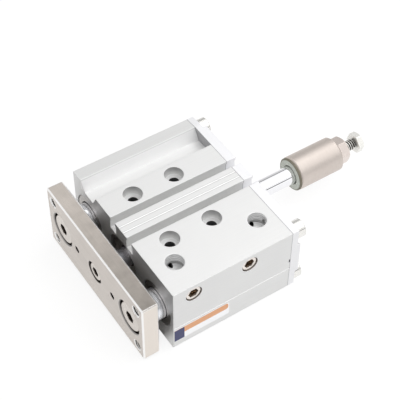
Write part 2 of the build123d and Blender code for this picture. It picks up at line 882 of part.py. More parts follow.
# Screws that hold the two guide rods and the piston rod to the tool plate
guide_seat_x = plate_front_x - guide_pocket_depth
guide_shank = guide_screw_length + guide_seat_x - plate_rear_x - end_clearance
with BuildPart() as guide_screws:
    for side_y in (-guide_y, guide_y):
        add(
            cap_screw(
                guide_seat_x,
                guide_screw_head_height,
                guide_screw_head_diameter,
                guide_screw_diameter,
                guide_shank,
                guide_screw_key,
                side_y,
            )
        )

save(guide_screws.part, "guide_rod_screws")

rod_seat_x = plate_front_x - rod_pocket_depth
rod_shank = rod_screw_length + rod_seat_x - plate_rear_x - end_clearance
save(
    cap_screw(
        rod_seat_x,
        rod_screw_head_height,
        rod_screw_head_diameter,
        rod_screw_diameter,
        rod_shank,
        rod_screw_key,
    ),
    "piston_rod_screw",
)

# Stopper sleeve: bored for the rear rod, with a rear wall that the adjusting bolt runs through
stopper_radius = stopper_diameter / 2
stopper_bore_end_x = stopper_front_x - stopper_bore_depth
seat_radius = stopper_radius - stopper_chamfer - stopper_rim
sleeve_hole_radius = bolt_diameter / 2 + running_clearance
save(
    turned(
        [
            (stopper_rear_x, sleeve_hole_radius),
            (stopper_bore_end_x, sleeve_hole_radius),
            (stopper_bore_end_x, rod_radius + running_clearance),
            (stopper_front_x - stopper_bumper_seat, rod_radius + running_clearance),
            (stopper_front_x - stopper_bumper_seat, seat_radius),
            (stopper_front_x, seat_radius),
            (stopper_front_x, stopper_radius - stopper_chamfer),
            (stopper_front_x - stopper_chamfer, stopper_radius),
            (stopper_rear_x + stopper_chamfer, stopper_radius),
            (stopper_rear_x, stopper_radius - stopper_chamfer),
        ]
    ),
    "stopper_sleeve",
)
save(
    turned(
        [
            (stopper_front_x - stopper_bumper_seat, rod_radius + stopper_bumper_clearance),
            (bumper_face_x, rod_radius + stopper_bumper_clearance),
            (bumper_face_x, stopper_radius - stopper_bumper_step - stopper_rim),
            (bumper_face_x - stopper_rim, stopper_radius - stopper_bumper_step),
            (stopper_front_x + stopper_bumper_step, stopper_radius - stopper_bumper_step),
            (stopper_front_x, seat_radius - static_clearance),
            (stopper_front_x - stopper_bumper_seat, seat_radius - static_clearance),
        ]
    ),
    "stopper_bumper",
)


def hexagon(x, width, height, turn):
    """A hexagon square to the rods, from x backwards, with its corners turned off at the rear."""
    corner = width / math.sqrt(3)
    flat_end = corner - math.sqrt(3) * nut_chamfer
    with BuildPart() as piece:
        with BuildSketch(across(x)):
            with Locations((0, axis_height)):
                RegularPolygon(width / 2, 6, major_radius=False, rotation=turn)
        extrude(amount=-height)
        with BuildSketch(along()):
            with BuildLine():
                Polyline(
                    (x, 0),
                    (x, corner),
                    (x - height + nut_chamfer, corner),
                    (x - height, flat_end),
                    (x - height, 0),
                    close=True,
                )
            make_face()
        revolve(axis=rod_axis(), mode=Mode.INTERSECT)
    return piece.part


with BuildPart() as lock_nut:
    add(hexagon(stopper_rear_x, lock_nut_width, lock_nut_thickness, lock_nut_turn))
    extrude(disc(sleeve_hole_radius, nut_rear_x), amount=lock_nut_thickness, mode=Mode.SUBTRACT)

save(lock_nut.part, "lock_nut")

# Adjusting bolt: its tip turns in the rear rod's socket, its thread runs in the sleeve and the nut
with BuildPart() as adjusting_bolt:
    add(hexagon(bolt_head_x, bolt_head_width, bolt_head_height, bolt_head_turn))
    extrude(disc(bolt_diameter / 2, bolt_head_x), amount=bolt_tip_x - bolt_head_x)

save(adjusting_bolt.part, "adjusting_bolt")
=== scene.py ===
import json
import math
from collections import namedtuple

import bmesh
import bpy
from mathutils import Matrix, Vector


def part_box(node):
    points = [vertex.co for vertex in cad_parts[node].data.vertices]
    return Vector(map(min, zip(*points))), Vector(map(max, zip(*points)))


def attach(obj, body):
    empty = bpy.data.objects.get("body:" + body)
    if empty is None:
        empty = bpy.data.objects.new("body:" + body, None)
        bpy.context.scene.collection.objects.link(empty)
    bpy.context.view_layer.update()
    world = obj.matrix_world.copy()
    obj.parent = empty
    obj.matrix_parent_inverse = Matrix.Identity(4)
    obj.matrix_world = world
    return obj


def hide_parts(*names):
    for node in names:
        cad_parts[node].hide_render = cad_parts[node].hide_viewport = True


# Gives the cylinder its materials, a threaded adjusting bolt and a blank label, and lights it as in
# the photograph. Materials and the label work in millimetres of the part's frame.

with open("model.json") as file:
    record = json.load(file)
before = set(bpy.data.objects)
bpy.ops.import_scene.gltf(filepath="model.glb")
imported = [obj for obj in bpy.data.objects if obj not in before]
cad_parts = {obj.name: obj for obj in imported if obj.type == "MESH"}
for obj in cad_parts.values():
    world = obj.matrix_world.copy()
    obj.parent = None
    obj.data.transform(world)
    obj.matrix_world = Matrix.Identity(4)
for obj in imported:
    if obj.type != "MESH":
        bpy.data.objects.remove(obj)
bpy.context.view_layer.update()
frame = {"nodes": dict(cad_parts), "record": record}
MM = 0.001

# Places in millimetres, read from the frame
(REAR_X, _, _), (BODY_FRONT_X, SIDE_Y, BODY_TOP_Z) = [
    Vector(corner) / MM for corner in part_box("body_housing")]
(_, _, rod_low), (_, _, rod_high) = [Vector(corner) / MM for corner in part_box("piston_rod")]
AXIS_Z = (rod_low + rod_high) / 2
PLATE_FRONT_X, PLATE_SIDE_Y, PLATE_TOP_Z = Vector(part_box("tool_plate")[1]) / MM
BUMPER_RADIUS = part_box("stopper_bumper")[1][1] / MM
HEAD_REAR_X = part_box("adjusting_bolt")[0][0] / MM
BOLT_TIP_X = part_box("adjusting_bolt")[1][0] / MM

# Round holes of one kind along one axis, each at the same offset from a middle point on all sides.
# The radius reaches just past the hole's wall, and the pitch is its thread's.
Holes = namedtuple("Holes", "middle offset axis radius pitch")
X, Y, Z = range(3)
PORTS = Holes((-6, 30, 0), (23.5, 0, 0), Z, 4.75, 1.2)
MOUNTING_HOLES = Holes((0, 0, 0), (12, 17, 0), Z, 2.75, 1.0)
PLATE_HOLES = Holes((0, 0, AXIS_Z), (0, 39.5, 13.5), X, 2.8, 1.0)
PLUG_HOLES = Holes((1.65, 0, 35.5), (15.85, 0, 0), Y, 4.65, 0)

# Other places of the CAD, in millimetres
POCKET_RADIUS = 5.0
POCKET_FLOOR_Z = 36.6
PORT_FLOOR_Z = 35.0
PASSAGE_Y = 25.7
CHANNEL_FLOOR_Z = 35.6
CHANNEL_SLOPE_Y = (-39.0, -35.3)
RIDGE_LINE_Y = 1.9
SIDE_LINE_Z = 15.5
SCREW_RECESS_HALF = 10.7
BOLT_HEAD_HEIGHT = 4.0

# How deep a face's colour goes, its own colour or painted shade, and how thick a zone counts as the wall of
# a hole or as an outer edge
SKIN = 0.05
WALL_ZONE = 0.35
EDGE_ZONE = 0.6


def grey(level):
    return (level, level, level, 1)


def shade(color, factor):
    return tuple(min(1.0, c * factor) for c in color[:3]) + (1.0,)


WHITE = grey(1.0)
BLACK = grey(0.015)


# Node trees

class Nodes:
    """Adds nodes to a node tree and joins their sockets."""

    def __init__(self, tree):
        self.nodes = tree.nodes
        self.links = tree.links
        self.nodes.clear()

    def node(self, kind, inputs=(), **settings):
        made = self.nodes.new(kind)
        for key, value in settings.items():
            setattr(made, key, value)
        for key, value in dict(inputs).items():
            if isinstance(value, bpy.types.NodeSocket):
                self.links.new(value, made.inputs[key])
            else:
                made.inputs[key].default_value = value
        return made

    def math(self, operation, a, b=0.0):
        return self.node("ShaderNodeMath", {0: a, 1: b}, operation=operation).outputs[0]

    def add(self, a, b):
        return self.math("ADD", a, b)

    def times(self, a, b):
        return self.math("MULTIPLY", a, b)

    def larger(self, a, b):
        return self.math("MAXIMUM", a, b)

    def absolute(self, value):
        return self.math("ABSOLUTE", value)

    def opposite(self, value):
        return self.math("SUBTRACT", 1.0, value)

    def length(self, a, b):
        return self.math("SQRT", self.add(self.times(a, a), self.times(b, b)))

    def above(self, value, limit):
        """A mask that is 1 above a value."""
        return self.math("GREATER_THAN", value, limit)

    def below(self, value, limit):
        """A mask that is 1 below a value."""
        return self.math("LESS_THAN", value, limit)

    def band(self, value, low, high):
        """A mask that is 1 between two values."""
        return self.times(self.above(value, low), self.below(value, high))

    def remap(self, value, low, high, to_low=0.0, to_high=1.0):
        inputs = {"Value": value, "From Min": low, "From Max": high, "To Min": to_low, "To Max": to_high}
        return self.node("ShaderNodeMapRange", inputs).outputs[0]

    def vector(self, operation, a, b=(0, 0, 0)):
        made = self.node("ShaderNodeVectorMath", {0: a, 1: b}, operation=operation)
        return made.outputs["Value" if operation in ("DOT_PRODUCT", "LENGTH") else "Vector"]

    def split(self, vector):
        return self.node("ShaderNodeSeparateXYZ", {0: vector}).outputs

    def mix(self, factor, a, b):
        inputs = {0: factor, 6: a, 7: b}
        return self.node("ShaderNodeMix", inputs, data_type="RGBA").outputs[2]

    def ramp(self, value, *stops):
        """A grey level by the value, from (position, level) stops. The first two are the ramp's ends."""
        made = self.node("ShaderNodeValToRGB", {0: value})
        elements = made.color_ramp.elements
        for index, (position, level) in enumerate(stops):
            stop = elements[index] if index < 2 else elements.new(position)
            stop.position = position
            stop.color = grey(level)
        return made.outputs[0]

    def seen_directly(self):
        """A value that is 1 for camera, glossy and transmission rays."""
        path = self.node("ShaderNodeLightPath").outputs
        seen = self.larger(path["Is Camera Ray"], path["Is Glossy Ray"])
        return self.larger(seen, path["Is Transmission Ray"])

    def pick_seen(self, unseen, seen):
        """One shader for the rays that light a surface, and another for those that show it."""
        return self.node("ShaderNodeMixShader", {0: self.seen_directly(), 1: unseen, 2: seen}).outputs[0]


class Material(Nodes):
    """A node material under construction that ends in one Principled shader."""

    def __init__(self, name):
        self.material = bpy.data.materials.new(name)
        self.material.use_nodes = True
        super().__init__(self.material.node_tree)
        self.out = self.node("ShaderNodeOutputMaterial")
        self.shader = self.node("ShaderNodeBsdfPrincipled")
        self.links.new(self.shader.outputs[0], self.out.inputs[0])
        coords = self.node("ShaderNodeTexCoord").outputs["Object"]
        self.place = self.vector("MULTIPLY", coords, (1 / MM, 1 / MM, 1 / MM))
        self.facing = self.node("ShaderNodeNewGeometry").outputs["Normal"]

    def noise(self, scale, detail=3.0):
        """Noise whose grains have the given size in millimetres along each axis."""
        stretched = self.vector("DIVIDE", self.place, scale)
        inputs = {"Vector": stretched, "Scale": 1.0, "Detail": detail}
        return self.node("ShaderNodeTexNoise", inputs).outputs[0]

    def tone(self, streaks, grain):
        """Streaks along one axis, fine grain and cloudy patches, about 0.5."""
        cloud = 14
        streak = self.times(self.noise(streaks, 4.0), 0.5)
        fine = self.times(self.noise((grain, grain, grain), 2.0), 0.3)
        return self.add(self.add(streak, fine), self.times(self.noise((cloud, cloud, cloud), 2.0), 0.2))

    def rounded(self, radius):
        """The normal with small rounded edges, and a mask that is 1 on those edges."""
        flat_cosine, edge_cosine = 0.997, 0.96
        bevel = self.node("ShaderNodeBevel", {"Radius": radius * MM}, samples=6).outputs[0]
        return bevel, self.remap(self.vector("DOT_PRODUCT", bevel, self.facing), flat_cosine, edge_cosine)

    def bump(self, height, distance, normal):
        inputs = {"Height": height, "Distance": distance * MM, "Strength": 1.0, "Normal": normal}
        return self.node("ShaderNodeBump", inputs).outputs[0]

    def tilt_up(self, normal, amount, mask):
        """The normal turned towards +Z where the mask is 1."""
        lift = self.vector("MULTIPLY", (0, 0, amount), mask)
        return self.vector("NORMALIZE", self.vector("ADD", normal, lift))

    def from_axis(self):
        """Distance from the rods' common axis."""
        _, y, z = self.split(self.place)
        return self.length(y, self.math("SUBTRACT", z, AXIS_Z))

    def hole(self, holes):
        """Distance from the nearest hole's axis, the turn round it and the place along it."""
        off_middle = self.vector("ABSOLUTE", self.vector("SUBTRACT", self.place, holes.middle))
        parts = self.split(self.vector("SUBTRACT", off_middle, holes.offset))
        a, b = [parts[i] for i in (X, Y, Z) if i != holes.axis]
        return self.length(a, b), self.math("ARCTAN2", b, a), self.split(self.place)[holes.axis]

    def thread(self, holes):
        """The wave of a helical thread and a mask that is 1 inside its holes."""
        distance, turn, along = self.hole(holes)
        phase = self.add(self.times(along, 2 * math.pi / holes.pitch), turn)
        wave = self.add(self.times(self.math("SINE", phase), 0.5), 0.5)
        return wave, self.below(distance, holes.radius)

    def passage(self, point, direction, radius):
        """A mask that is 1 near the axis of a slanted hole."""
        blur = 0.1
        across = self.vector("CROSS_PRODUCT", self.vector("SUBTRACT", self.place, point), direction)
        return self.remap(self.vector("LENGTH", across), radius + blur, radius - blur)

    def finish(self, **inputs):
        for key, value in inputs.items():
            socket = self.shader.inputs[key.replace("_", " ")]
            if isinstance(value, bpy.types.NodeSocket):
                self.links.new(value, socket)
            else:
                socket.default_value = value
        return self.material


# Kinds of material

def metal(name, color, rough, metallic, streaks, contrast=0.06, edge=0.25, painted_edge_light=1.2, relief=0.006,
          edge_shine=1.0, extra=None):
    """Machined metal: a streaky, grainy tone and small rounded edges with a painted highlight in a lighter
    colour, or painted shade where the edge factor is below 1.

    extra(tree, base, normal, mask) may change the colour, the normal and the mask of the edges.
    """
    grain = 0.12
    tree = Material(name)
    tone = tree.tone(streaks, grain)
    normal, mask = tree.rounded(edge) if edge else (tree.facing, 0.0)
    base = tree.mix(tree.remap(tone, 0.32, 0.68), shade(color, 1 - contrast), shade(color, 1 + contrast))
    if relief:
        normal = tree.bump(tone, relief, normal)
    if extra:
        base, normal, mask = extra(tree, base, normal, mask)
    # Painted highlight: the rounded edges get a lighter colour (painted shade where the factor is below 1).
    if edge:
        base = tree.mix(mask, base, shade(color, painted_edge_light))
    roughness = tree.remap(tone, 0.3, 0.7, rough * 1.2, rough * 0.8)
    shine = tree.remap(mask, 0.0, 1.0, metallic, edge_shine) if edge else metallic
    return tree.finish(Base_Color=base, Metallic=shine, Roughness=roughness, Normal=normal)


def soft(name, color, rough, grain, contrast=0.15, relief=0.02, metallic=0.0, extra=None):
    """Rubber, felt or film: a grainy surface with small rounded edges that keep its colour."""
    edge = 0.15
    tree = Material(name)
    tone = tree.tone((grain * 3, grain, grain), grain)
    normal, mask = tree.rounded(edge)
    base = tree.mix(tree.remap(tone, 0.3, 0.7), shade(color, 1 - contrast), shade(color, 1 + contrast))
    normal = tree.bump(tone, relief, normal)
    if extra:
        base, normal, _ = extra(tree, base, normal, mask)
    return tree.finish(Base_Color=base, Metallic=metallic, Roughness=rough, Normal=normal)


def threaded(tree, base, normal, holes, bright, dark):
    """A thread in tapped holes: painted highlights on the crests, painted shade in the bottoms, and the
    relief of both.
    """
    depth = 0.4
    wave, inside = tree.thread(holes)
    # Painted highlight in the crest colour and painted shade in the bottom colour.
    base = tree.mix(inside, base, tree.mix(tree.remap(wave, 0.2, 0.7), dark, bright))
    return base, tree.bump(tree.times(wave, inside), depth, normal)


# Details of single materials, most of them painted light and shade

def port_painted_light(tree, base, normal):
    """Painted light in the ports: walls lightened to white, painted highlights and shade on the thread, and
    a band of painted shade just above the floor.
    """
    band_height = 2.2
    z = tree.split(tree.place)[Z]
    distance, _, _ = tree.hole(PORTS)
    inside = tree.times(tree.below(distance, PORTS.radius), tree.below(z, BODY_TOP_Z - 2 * SKIN))
    # Painted light: the port walls are lightened to white.
    base = tree.mix(inside, base, WHITE)
    base, normal = threaded(tree, base, normal, PORTS, WHITE, grey(0.7))
    # Painted shade: a grey band on the wall just above the port's floor.
    wall = tree.band(distance, PORTS.radius - WALL_ZONE, PORTS.radius)
    low = tree.band(z, PORT_FLOOR_Z, PORT_FLOOR_Z + band_height)
    return tree.mix(tree.times(wall, low), base, grey(0.42)), normal


def hole_painted_shade(tree, base):
    """Painted shade in the holes: black in the deep parts of the mounting holes and in the air passages, and
    darker walls in the pockets and the plugged holes.
    """
    light_z, dark_z = 8, 20
    passage_radius, passage_height, plug_depth = 1.1, 2, 9
    _, y, z = tree.split(tree.place)
    distance, _, _ = tree.hole(MOUNTING_HOLES)
    inside = tree.below(distance, MOUNTING_HOLES.radius)
    deep = tree.times(tree.remap(z, light_z, dark_z), tree.below(z, POCKET_FLOOR_Z - SKIN))
    # Painted shade: the deep part of the mounting holes turns black.
    base = tree.mix(tree.times(tree.times(deep, inside), 0.85), base, BLACK)

    # Painted shade on the pocket walls, stronger towards the top.
    wall = tree.band(distance, POCKET_RADIUS - 2 * SKIN, POCKET_RADIUS + 2 * SKIN)
    wall = tree.times(wall, tree.remap(z, POCKET_FLOOR_Z, BODY_TOP_Z, 0.0, 0.6))
    base = tree.mix(tree.times(wall, tree.below(z, BODY_TOP_Z - SKIN)), base, grey(0.3))

    # Painted shade: the air passages are black near the port floor.
    near_floor = tree.below(z, PORT_FLOOR_Z + passage_height)
    for side, slant in ((1, -1.0), (-1, -4.0)):
        port_x = PORTS.middle[X] + side * PORTS.offset[X]
        direction = Vector((slant, -17.2, -10.3)).normalized()
        passage = tree.passage((port_x, PASSAGE_Y, PORT_FLOOR_Z), direction, passage_radius)
        base = tree.mix(tree.times(passage, near_floor), base, BLACK)

    # Painted shade on the walls of the plugged holes.
    distance, _, _ = tree.hole(PLUG_HOLES)
    wall = tree.band(distance, PLUG_HOLES.radius - WALL_ZONE, PLUG_HOLES.radius)
    wall = tree.times(wall, tree.band(y, SIDE_Y - plug_depth, SIDE_Y - SKIN))
    return tree.mix(wall, base, (0.24, 0.21, 0.19, 1))


def body_painted_light_and_seam(tree, base, normal, mask):
    """Painted shade in the holes, painted light on the channel's outer slope, painted highlights and shade
    on the fine lines, a dark seam against the rear plate and painted shade on the front. The painted edge
    highlight is kept to the outer edges.
    """
    border_half, line_half, side_line_half = 0.75, 0.25, 0.45
    dim_y, dim_low_z = (-30, 50), 22
    x, y, z = tree.split(tree.place)
    top_zone = tree.above(z, BODY_TOP_Z - EDGE_ZONE)
    side_zone = tree.above(y, SIDE_Y - EDGE_ZONE)
    base, normal = port_painted_light(tree, base, normal)
    base = hole_painted_shade(tree, base)

    # Painted light: the channel's outer slope is lightened to near white.
    slope = tree.band(z, CHANNEL_FLOOR_Z + 2 * SKIN, BODY_TOP_Z - 0.75)
    slope = tree.times(tree.band(y, *CHANNEL_SLOPE_Y), slope)
    base = tree.mix(slope, base, grey(0.99))

    # Painted shade in a grey band along the ridge's fine lines, with a painted highlight in their white
    # core.
    off_line = tree.absolute(tree.math("SUBTRACT", tree.absolute(y), RIDGE_LINE_Y))
    ridge_painted_shade = tree.times(tree.below(off_line, border_half), top_zone)
    base = tree.mix(ridge_painted_shade, base, (0.72, 0.72, 0.715, 1))
    base = tree.mix(tree.times(ridge_painted_shade, tree.below(off_line, line_half)), base, WHITE)

    # Painted highlight: the fine line on the port side is white, and its normal is tilted up.
    side_line = tree.band(z, SIDE_LINE_Z - side_line_half, SIDE_LINE_Z + side_line_half)
    side_line = tree.times(side_line, tree.above(y, SIDE_Y - 1))
    base = tree.mix(side_line, base, WHITE)
    normal = tree.tilt_up(normal, 0.8, side_line)

    seam = tree.remap(x, REAR_X + 0.4, REAR_X + 0.12)
    base = tree.mix(tree.times(seam, 0.6), base, (0.2, 0.2, 0.22, 1))

    # Painted shade on the housing's front face, stronger towards the top.
    front = tree.times(tree.above(x, BODY_FRONT_X - SKIN), tree.band(y, *dim_y))
    dim = tree.times(front, tree.remap(z, dim_low_z, BODY_TOP_Z, 0.0, 0.42))
    base = tree.mix(dim, base, (0.16, 0.16, 0.155, 1))

    # Only the outer edges of the top and the port side keep the painted edge highlight, not the ridge lines
    # or the seam.
    mask = tree.times(mask, tree.larger(top_zone, side_zone))
    return base, normal, tree.times(mask, tree.opposite(tree.larger(ridge_painted_shade, seam)))


def joint_face_painted_shade(tree, base, normal, mask):
    """Painted shade: the rear plate's face against the body is darkened where the channel and the notches
    show it, and it gets no edge highlight.
    """
    face = tree.above(tree.split(tree.place)[X], REAR_X - SKIN)
    return tree.mix(face, base, (0.42, 0.42, 0.43, 1)), normal, tree.times(mask, tree.opposite(face))


def plate_painted_light(tree, base, normal, mask):
    """Painted light and shade on the tool plate: painted highlights and shade on the threaded corner holes,
    pale painted ends, painted highlights on the chamfers, a top whose painted shade darkens it to the port
    side, and painted shade in the screw recesses.
    """
    x, y, z = tree.split(tree.place)
    chamfer = tree.band(tree.absolute(tree.split(tree.facing)[X]), 0.5, 0.9)
    # Painted highlights on the corner holes' thread crests and painted shade in their bottoms.
    base, normal = threaded(tree, base, normal, PLATE_HOLES, (0.8, 0.77, 0.73, 1), (0.03, 0.025, 0.02, 1))

    # Painted shade darkens the top towards the port side, with cloudy variation.
    dark = tree.add(tree.remap(y, -PLATE_SIDE_Y, PLATE_SIDE_Y, -0.12, 0.62),
                    tree.remap(tree.noise((6, 6, 6), 2.0), 0.3, 0.7, -0.04, 0.12))
    top = tree.remap(z, PLATE_TOP_Z - 0.3, PLATE_TOP_Z - 0.1)
    base = tree.mix(tree.times(dark, top), base, (0.16, 0.145, 0.13, 1))
    # Painted light: the plate's ends are paler.
    end = tree.remap(tree.absolute(y), PLATE_SIDE_Y - 0.3, PLATE_SIDE_Y - 0.1)
    base = tree.mix(end, base, (0.84, 0.775, 0.71, 1))

    # Painted shade in the screw recesses behind the front face.
    middle = tree.band(z, AXIS_Z - SCREW_RECESS_HALF, AXIS_Z + SCREW_RECESS_HALF)
    middle = tree.times(middle, tree.below(tree.absolute(y), PLATE_SIDE_Y - 1))
    recess_painted_shade = tree.times(middle, tree.remap(x, PLATE_FRONT_X - 0.1, PLATE_FRONT_X - 0.6))
    base = tree.mix(recess_painted_shade, base, (0.05, 0.035, 0.025, 1))
    # Painted highlight on the edges and chamfers, weaker across the band of the screw recesses.
    bright = tree.times(tree.larger(mask, chamfer), 0.85)
    return base, normal, tree.times(bright, tree.opposite(tree.times(middle, 0.75)))


def socket_painted_shade(axis, start, end, color, rim):
    """Painted shade in a key socket: what lies below a level on one axis is coloured dark, mottled with a
    lighter colour.
    """
    def extra(tree, base, normal, mask):
        mottled = tree.mix(tree.remap(tree.noise((1.0, 1.0, 1.0), 2.0), 0.45, 0.58), color, rim)
        outside = tree.remap(tree.split(tree.place)[axis], start, end)
        return tree.mix(outside, mottled, base), normal, tree.times(mask, outside)
    return extra


def bumper_rim(tree, base, normal, mask):
    """An olive rim round a pale ring."""
    rim = tree.remap(tree.from_axis(), BUMPER_RADIUS - 1.0, BUMPER_RADIUS - 0.5)
    return tree.mix(rim, base, (0.22, 0.20, 0.15, 1)), normal, mask


# Painted shade in the key sockets of the rod screws and the plugs.
rod_screw_socket = socket_painted_shade(
    X, PLATE_FRONT_X - 1.4, PLATE_FRONT_X - 1.0, (0.03, 0.02, 0.015, 1), (0.16, 0.12, 0.09, 1))
plug_socket = socket_painted_shade(
    Y, SIDE_Y - 1.6, SIDE_Y - 1.0, (0.12, 0.08, 0.05, 1), (0.66, 0.52, 0.38, 1))

# The lighter edge colours in these materials are painted highlights.
materials = {
    "body_aluminium": metal(
        "body_aluminium", (0.84, 0.84, 0.835), rough=0.40, metallic=0.42, streaks=(60, 0.25, 0.25),
        contrast=0.03, edge=0.5, painted_edge_light=1.25, edge_shine=0.3, extra=body_painted_light_and_seam),
    "plate_aluminium": metal(
        "plate_aluminium", (0.96, 0.96, 0.985), rough=0.40, metallic=0.35, streaks=(0.5, 12, 0.5),
        contrast=0.03, painted_edge_light=1.05, extra=joint_face_painted_shade),
    "nickel_plate": metal(
        "nickel_plate", (0.64, 0.585, 0.535), rough=0.32, metallic=0.7, streaks=(0.4, 20, 0.4),
        contrast=0.10, edge=0.6, painted_edge_light=2.0, extra=plate_painted_light),
    "guide_steel": metal(
        "guide_steel", (0.90, 0.91, 0.95), rough=0.18, metallic=0.85, streaks=(0.2, 8, 8),
        contrast=0.03, edge=0, relief=0),
    "rod_chrome": metal(
        "rod_chrome", (0.88, 0.88, 0.90), rough=0.07, metallic=1.0, streaks=(0.2, 8, 8),
        contrast=0.02, edge=0, relief=0),
    "screw_steel": metal(
        "screw_steel", (0.70, 0.65, 0.60), rough=0.30, metallic=0.8, streaks=(0.3, 3, 3),
        contrast=0.08, extra=rod_screw_socket),
    "stopper_steel": metal(
        "stopper_steel", (0.66, 0.595, 0.55), rough=0.46, metallic=0.95, streaks=(0.15, 6, 6),
        contrast=0.04, painted_edge_light=1.05),
    "plug_steel": metal(
        "plug_steel", (0.86, 0.80, 0.75), rough=0.28, metallic=0.8, streaks=(0.3, 0.3, 3),
        contrast=0.10, extra=plug_socket),
    "bush_bronze": metal("bush_bronze", (0.62, 0.47, 0.29), rough=0.30, metallic=1.0, streaks=(0.2, 6, 6)),
    "cover_alloy": metal("cover_alloy", (0.60, 0.58, 0.55), rough=0.30, metallic=0.9, streaks=(0.2, 6, 6)),
    "holder_steel": metal("holder_steel", (0.45, 0.43, 0.41), rough=0.34, metallic=0.9, streaks=(0.2, 6, 6)),
    "seal_rubber": soft("seal_rubber", (0.045, 0.045, 0.05), rough=0.55, grain=0.2),
    "stopper_rubber": soft("stopper_rubber", (0.70, 0.73, 0.655), rough=0.6, grain=0.2, extra=bumper_rim),
    "felt": soft("felt", (0.07, 0.065, 0.06), rough=0.9, grain=0.12, contrast=0.3, relief=0.06),
    "magnet": soft("magnet", (0.06, 0.06, 0.065), rough=0.5, grain=0.15),
}
by_node = {
    # Painted shade on the rear screws' edges: their edge colour is darkened.
    "rear_plate_screws": metal(
        "rear_screw_steel", (0.84, 0.83, 0.80), rough=0.22, metallic=0.95, streaks=(0.3, 3, 3),
        painted_edge_light=0.7),
    "piston_rod": metal(
        "front_rod_chrome", (0.90, 0.90, 0.97), rough=0.22, metallic=0.8, streaks=(0.2, 8, 8),
        contrast=0.03, edge=0, relief=0),
    "lock_nut": metal(
        "nut_steel", (0.77, 0.69, 0.645), rough=0.32, metallic=1.0, streaks=(0.15, 6, 6),
        contrast=0.05, painted_edge_light=1.1),
    "retaining_ring": metal("ring_steel", (0.42, 0.41, 0.40), rough=0.34, metallic=0.9, streaks=(0.3, 3, 3)),
}
for entry in frame["record"]["subparts"]:
    for material_slot in frame["nodes"][entry["node"]].material_slots:
        material_slot.material = by_node.get(entry["node"], materials[entry["material_slot"]])


# Pieces that the CAD leaves plain or out

def add_piece(name, mesh_data, material, body):
    bmesh.ops.recalc_face_normals(mesh_data, faces=mesh_data.faces)
    mesh = bpy.data.meshes.new(name)
    mesh_data.to_mesh(mesh)
    mesh_data.free()
    mesh.materials.append(material)
    piece = bpy.data.objects.new(name, mesh)
    bpy.context.collection.objects.link(piece)
    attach(piece, body)
    return piece


def skin(bm, rings, shift=0):
    """Joins rings of points with faces. A ring's last point meets the first one of the ring shift later."""
    verts = [[bm.verts.new(Vector(point) * MM) for point in ring] for ring in rings]
    count = len(rings[0])
    for i in range(len(verts) - 1):
        for j in range(count - 1):
            bm.faces.new((verts[i][j], verts[i][j + 1], verts[i + 1][j + 1], verts[i + 1][j]))
        if i + 1 + shift < len(verts):
            bm.faces.new((verts[i][-1], verts[i + shift][0], verts[i + 1 + shift][0], verts[i + 1][-1]))


def around(x, radius, angle):
    return (x, radius * math.cos(angle), AXIS_Z + radius * math.sin(angle))


def hexagon_radius(width, turn, angle):
    """Distance from the middle of a hexagon to its side in a direction."""
    sixth = math.pi / 3
    return width / 2 / math.cos((angle - turn) % sixth - sixth / 2)


def add_bolt():
    """The adjusting bolt: a hexagon head with its corners turned off, and a helical thread."""
    head_width, corner_height, corner_steps, steps = 10.0, 0.9, 6, 72
    shoulder_radius, shoulder_height, middle_radius = 4.58, 0.15, 0.01
    crest, root, pitch, per_turn = 2.98, 2.3, 1.25, 24
    head_turn = math.radians(13.5)
    head_front_x = HEAD_REAR_X + BOLT_HEAD_HEIGHT
    corner_radius = head_width / math.sqrt(3)
    angles = [2 * math.pi * i / steps for i in range(steps)]
    bm = bmesh.new()

    def head_ring(x, depth):
        limit = corner_radius - math.sqrt(3) * (corner_height - depth)
        return [around(x, min(limit, hexagon_radius(head_width, head_turn, a)), a) for a in angles]

    depths = [corner_height * i / corner_steps for i in range(corner_steps + 1)]
    rings = [[around(HEAD_REAR_X, middle_radius, a) for a in angles]]
    rings += [head_ring(HEAD_REAR_X + depth, depth) for depth in depths]
    rings += [head_ring(head_front_x - shoulder_height, corner_height)]
    rings += [[around(head_front_x, shoulder_radius, a) for a in angles]]
    rings += [[around(head_front_x, root, a) for a in angles]]
    skin(bm, rings)

    profile = (root, root, crest, crest)
    rows = int((BOLT_TIP_X - head_front_x) / pitch * len(profile))
    rings = []
    for i in range(rows):
        ring = []
        for j in range(per_turn):
            x = head_front_x + pitch * (i / len(profile) + j / per_turn)
            ring.append(around(min(x, BOLT_TIP_X), profile[i % len(profile)], 2 * math.pi * j / per_turn))
        rings.append(ring)
    skin(bm, rings, len(profile))
    bmesh.ops.remove_doubles(bm, verts=bm.verts, dist=0.0001 * MM)
    piece = add_piece("threaded_bolt", bm, bolt_material(), "adjusting_bolt")
    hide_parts("adjusting_bolt")


def bolt_material():
    """Bright steel with painted shade in the bottom of the thread, and a painted shadow of the head on the
    thread near it.
    """
    root_radius, crest_radius, dark_length = 2.65, 2.9, 3.5
    tree = Material("bolt_steel")
    x = tree.split(tree.place)[X]
    head_front_x = HEAD_REAR_X + BOLT_HEAD_HEIGHT
    on_crest = tree.remap(tree.from_axis(), root_radius, crest_radius)
    # Painted shade: the thread's bottoms are dark, and its crests darken towards the head as its painted
    # shadow.
    light = tree.times(on_crest, tree.remap(x, head_front_x, head_front_x + dark_length, 0.2, 1.0))
    light = tree.larger(light, tree.opposite(tree.above(x, head_front_x + SKIN)))
    tone = tree.noise((0.2, 2, 2))
    steel = tree.mix(tree.remap(tone, 0.3, 0.7), (0.92, 0.91, 0.87, 1), (1.0, 0.99, 0.95, 1))
    base = tree.mix(light, (0.02, 0.015, 0.01, 1), steel)
    normal, _ = tree.rounded(0.12)
    return tree.finish(Base_Color=base, Metallic=0.6, Roughness=0.3, Normal=tree.bump(tone, 0.004, normal))


